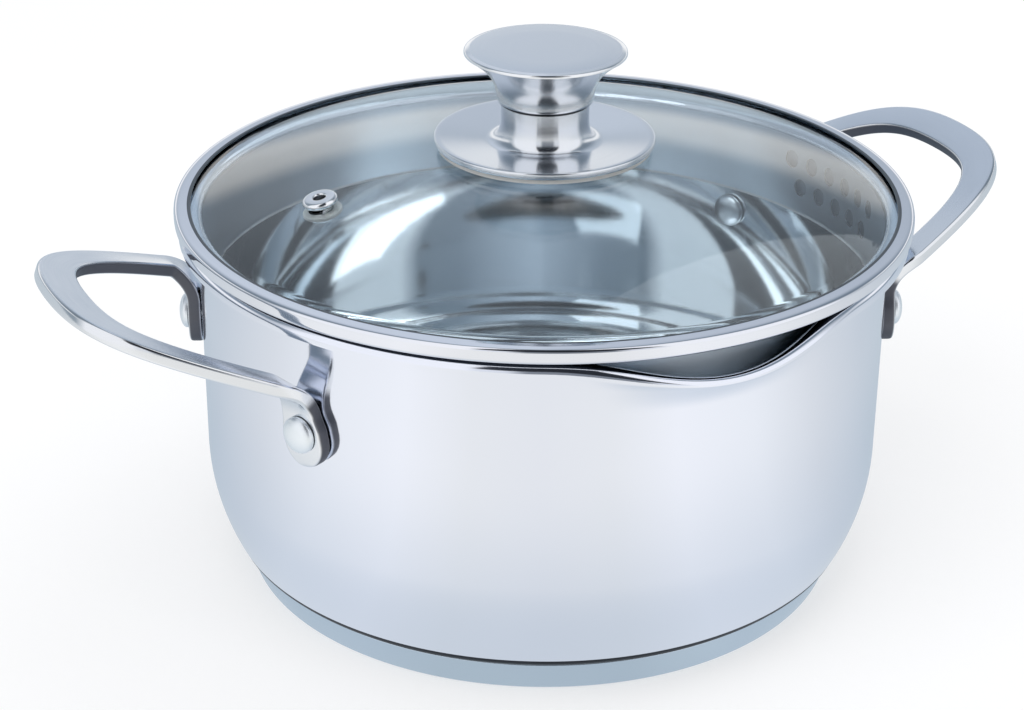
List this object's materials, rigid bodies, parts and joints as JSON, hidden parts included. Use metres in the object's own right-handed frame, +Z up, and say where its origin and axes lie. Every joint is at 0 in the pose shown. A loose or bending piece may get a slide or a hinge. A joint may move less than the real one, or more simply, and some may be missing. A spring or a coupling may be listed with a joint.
{
  "type": "stewpot",
  "caption": "Stainless steel stewpot with pouring spouts, riveted loop handles and a domed glass lid whose pierced steel skirt strains what is poured off.",
  "frame": {"origin": "middle of the base, on the surface that the pot stands on", "axes": "+X along one handle, +Y towards one pouring spout, +Z up"},
  "size_m": [0.2998, 0.2214, 0.1572],
  "materials": {
    "polished_steel": "mirror-polished stainless steel",
    "satin_steel": "satin stainless steel",
    "aluminium": "bare",
    "glass": "clear tempered glass",
    "silicone": "matt silicone rubber"
  },
  "bodies": {
    "pot": {"pot_body": "polished_steel", "base_core": "aluminium", "base_cap": "satin_steel", "handle_right": "satin_steel", "handle_left": "satin_steel", "rivet_right_front": "polished_steel", "rivet_right_rear": "polished_steel", "rivet_left_rear": "polished_steel", "rivet_left_front": "polished_steel"},
    "knob": {"knob_top": "satin_steel", "knob_base": "satin_steel", "knob_insert": "polished_steel", "knob_gasket": "silicone", "glass_grommet": "silicone", "knob_washer": "polished_steel", "knob_screw": "polished_steel"},
    "lid": {"lid_ring": "polished_steel", "lid_glass": "glass", "vent_eyelet": "polished_steel", "vent_washer": "silicone"}
  },
  "joints": [
    {"name": "lid_lift", "type": "slide", "parent": "pot", "child": "knob", "axis": [0, 0, 1], "range_m": [0, 0.12]},
    {"name": "lid_turn", "type": "hinge", "parent": "knob", "child": "lid", "pos_m": [0, 0, 0.12], "axis": [0, 0, 1], "continuous": true}
  ]
}
